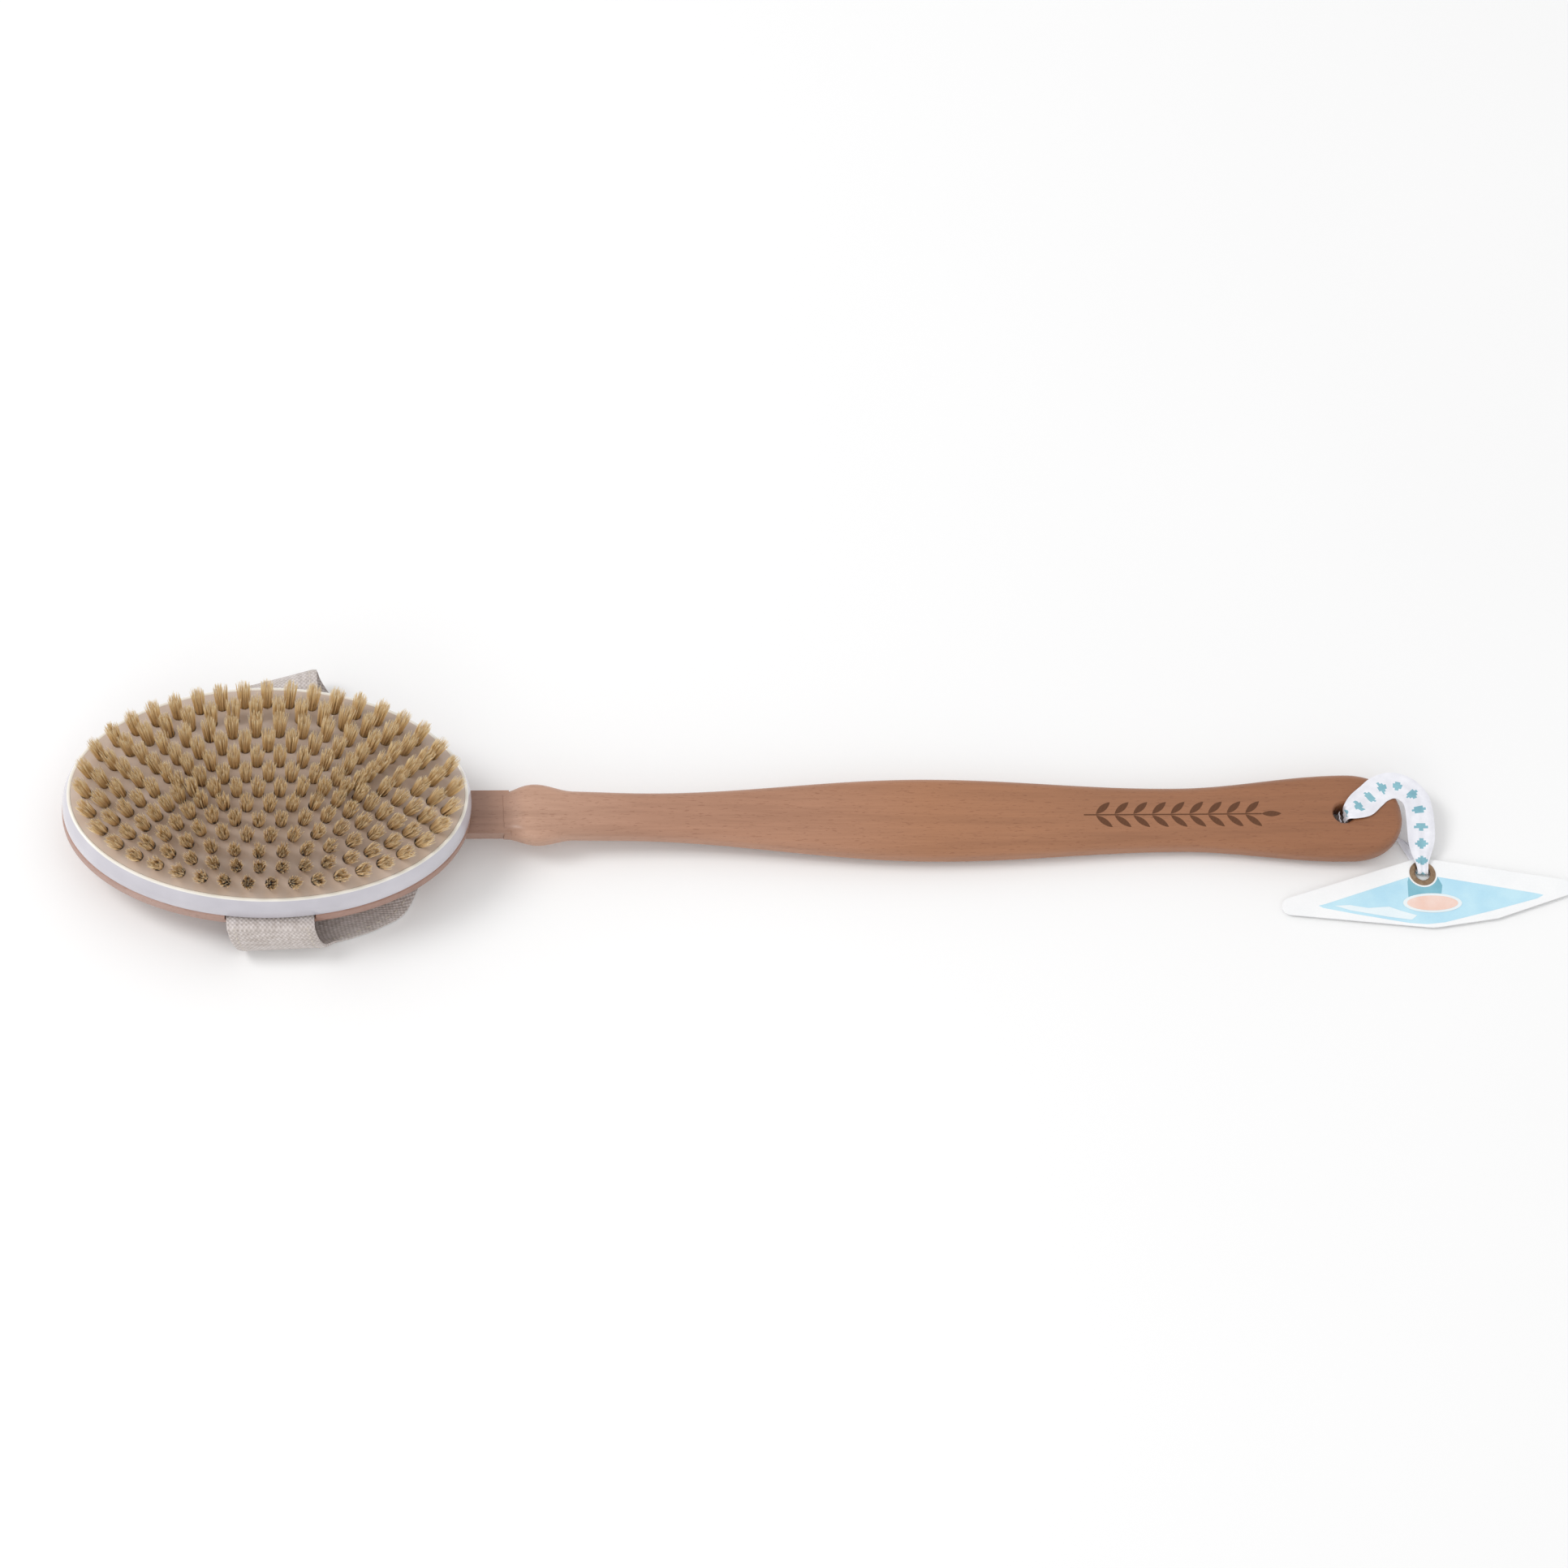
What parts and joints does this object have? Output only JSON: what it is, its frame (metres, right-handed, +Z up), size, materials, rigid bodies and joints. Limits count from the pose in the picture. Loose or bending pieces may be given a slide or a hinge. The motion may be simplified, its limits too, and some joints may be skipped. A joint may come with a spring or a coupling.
{
  "type": "body dry brush",
  "caption": "Oval dry brush with natural bristle tufts, a canvas hand strap across its back, a pull-out wooden paddle handle and a ribbon with a tag.",
  "frame": {"origin": "on the surface that the brush lies on, under the middle of the brush's box without the ribbon, eyelet and tag", "axes": "+X from the head towards the handle's end, +Z up, the way the bristles point, +Y across the brush"},
  "size_m": [0.4873, 0.0981, 0.0362],
  "materials": {
    "board_wood": "sanded beech, clear lacquer",
    "handle_wood": "sanded beech, clear lacquer",
    "white_block": "glossy white",
    "bristle": "natural bristle, dry",
    "canvas": "unbleached cotton canvas",
    "satin": "white satin with a small turquoise print",
    "card": "coated card with a pale blue print",
    "brass": "satin brass",
    "steel": "plain wire"
  },
  "bodies": {
    "head": {"back_board": "board_wood", "bristle_block": "white_block", "tuft_plate": "white_block", "block_screws": "brass", "hand_strap": "canvas", "strap_tacks": "steel", "tufts_ring_1": "bristle", "tufts_ring_2": "bristle", "tufts_ring_3": "bristle", "tufts_ring_4": "bristle", "tufts_ring_5": "bristle", "tufts_ring_6": "bristle", "tufts_centre_row": "bristle", "anchor_wires_ring_1": "steel", "anchor_wires_ring_2": "steel", "anchor_wires_ring_3": "steel", "anchor_wires_ring_4": "steel", "anchor_wires_ring_5": "steel", "anchor_wires_ring_6": "steel", "anchor_wires_centre_row": "steel"},
    "paddle": {"handle": "handle_wood", "hanging_ribbon": "satin"},
    "tag": {"hang_tag": "card", "tag_eyelet": "brass"}
  },
  "joints": [
    {"name": "handle_slide", "type": "slide", "parent": "head", "child": "paddle", "axis": [1, 0, 0], "range_m": [0, 0.06]},
    {"name": "tag_swivel", "type": "hinge", "parent": "paddle", "child": "tag", "pos_m": [0.2218, -0.02325, 0], "axis": [0, 0, 1], "range_deg": [0, 60]}
  ]
}
